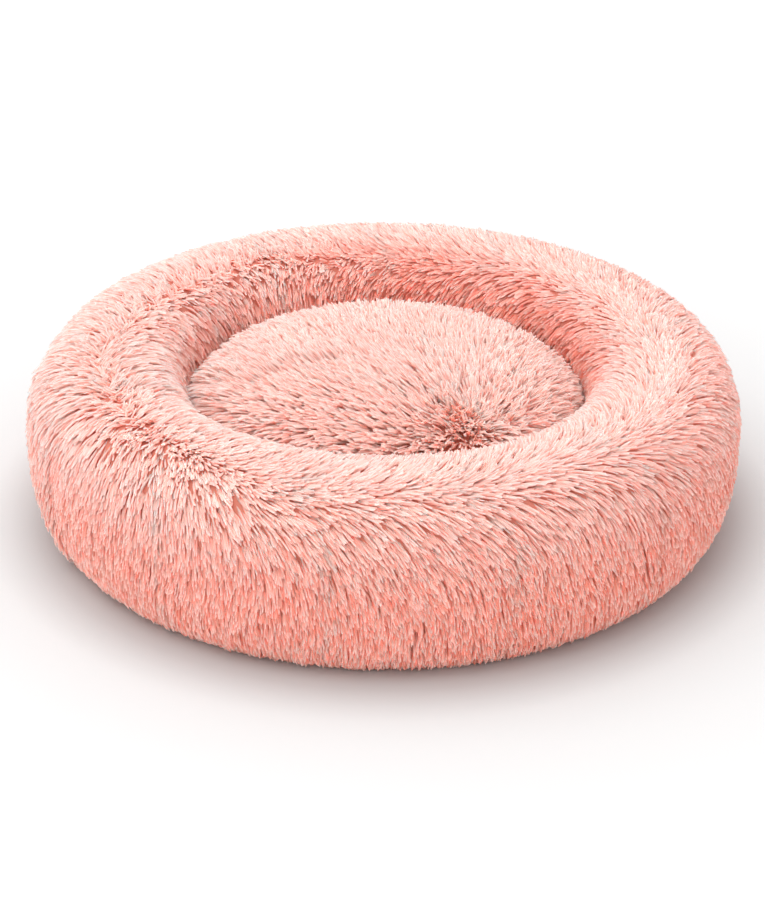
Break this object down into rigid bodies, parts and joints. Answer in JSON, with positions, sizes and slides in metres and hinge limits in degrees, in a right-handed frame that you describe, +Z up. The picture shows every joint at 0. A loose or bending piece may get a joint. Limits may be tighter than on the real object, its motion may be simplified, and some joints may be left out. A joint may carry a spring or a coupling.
{
  "type": "donut pet bed",
  "caption": "Round plush pet bed: a stuffed faux-fur ring round a loose domed fur cushion, on a woven base cloth closed by a zip.",
  "frame": {"origin": "on the floor at the middle of the bed's base", "axes": "+Z up, +X along the zip towards its closed end, -Y towards the viewer of the picture"},
  "size_m": [0.6, 0.6, 0.157],
  "materials": {
    "ring_fur": "long-pile faux fur",
    "cushion_fur": "long-pile faux fur",
    "base_cloth": "plain-woven base cloth with grip dots",
    "nonwoven": "spunbonded nonwoven",
    "fibre_fill": "carded polyester fibre",
    "binding_tape": "woven binding tape",
    "zip_tape": "woven zip tape with moulded resin teeth",
    "zip_resin": "moulded acetal",
    "zip_metal": "plated die casting"
  },
  "bodies": {
    "bed": {"bolster_outer_panel": "ring_fur", "bolster_inner_panel": "ring_fur", "bolster_liner": "nonwoven", "bolster_fill": "fibre_fill", "base_binding": "binding_tape", "base_panel_front": "base_cloth", "base_panel_rear": "base_cloth", "base_wadding": "fibre_fill", "well_floor_panel": "ring_fur", "zip_tape_front": "zip_tape", "zip_tape_rear": "zip_tape", "zip_top_stop_front": "zip_resin", "zip_top_stop_rear": "zip_resin", "zip_bottom_stop": "zip_resin"},
    "cushion": {"cushion_fur_top": "cushion_fur", "cushion_base_cloth": "base_cloth", "cushion_liner": "nonwoven", "cushion_fill": "fibre_fill"},
    "slider": {"zip_slider": "zip_metal"},
    "pull": {"zip_pull": "zip_metal"}
  },
  "joints": [
    {"name": "cushion_lift", "type": "slide", "parent": "bed", "child": "cushion", "axis": [0, 0, 1], "range_m": [0, 0.2]},
    {"name": "zip_slide", "type": "slide", "parent": "bed", "child": "slider", "axis": [-1, 0, 0], "range_m": [0, 0.191], "deforming": ["zip_tape_front", "zip_tape_rear"]},
    {"name": "pull_hinge", "type": "hinge", "parent": "slider", "child": "pull", "pos_m": [0.09713, 0, 0.0095], "axis": [0, 1, 0], "range_deg": [0, 175]}
  ]
}
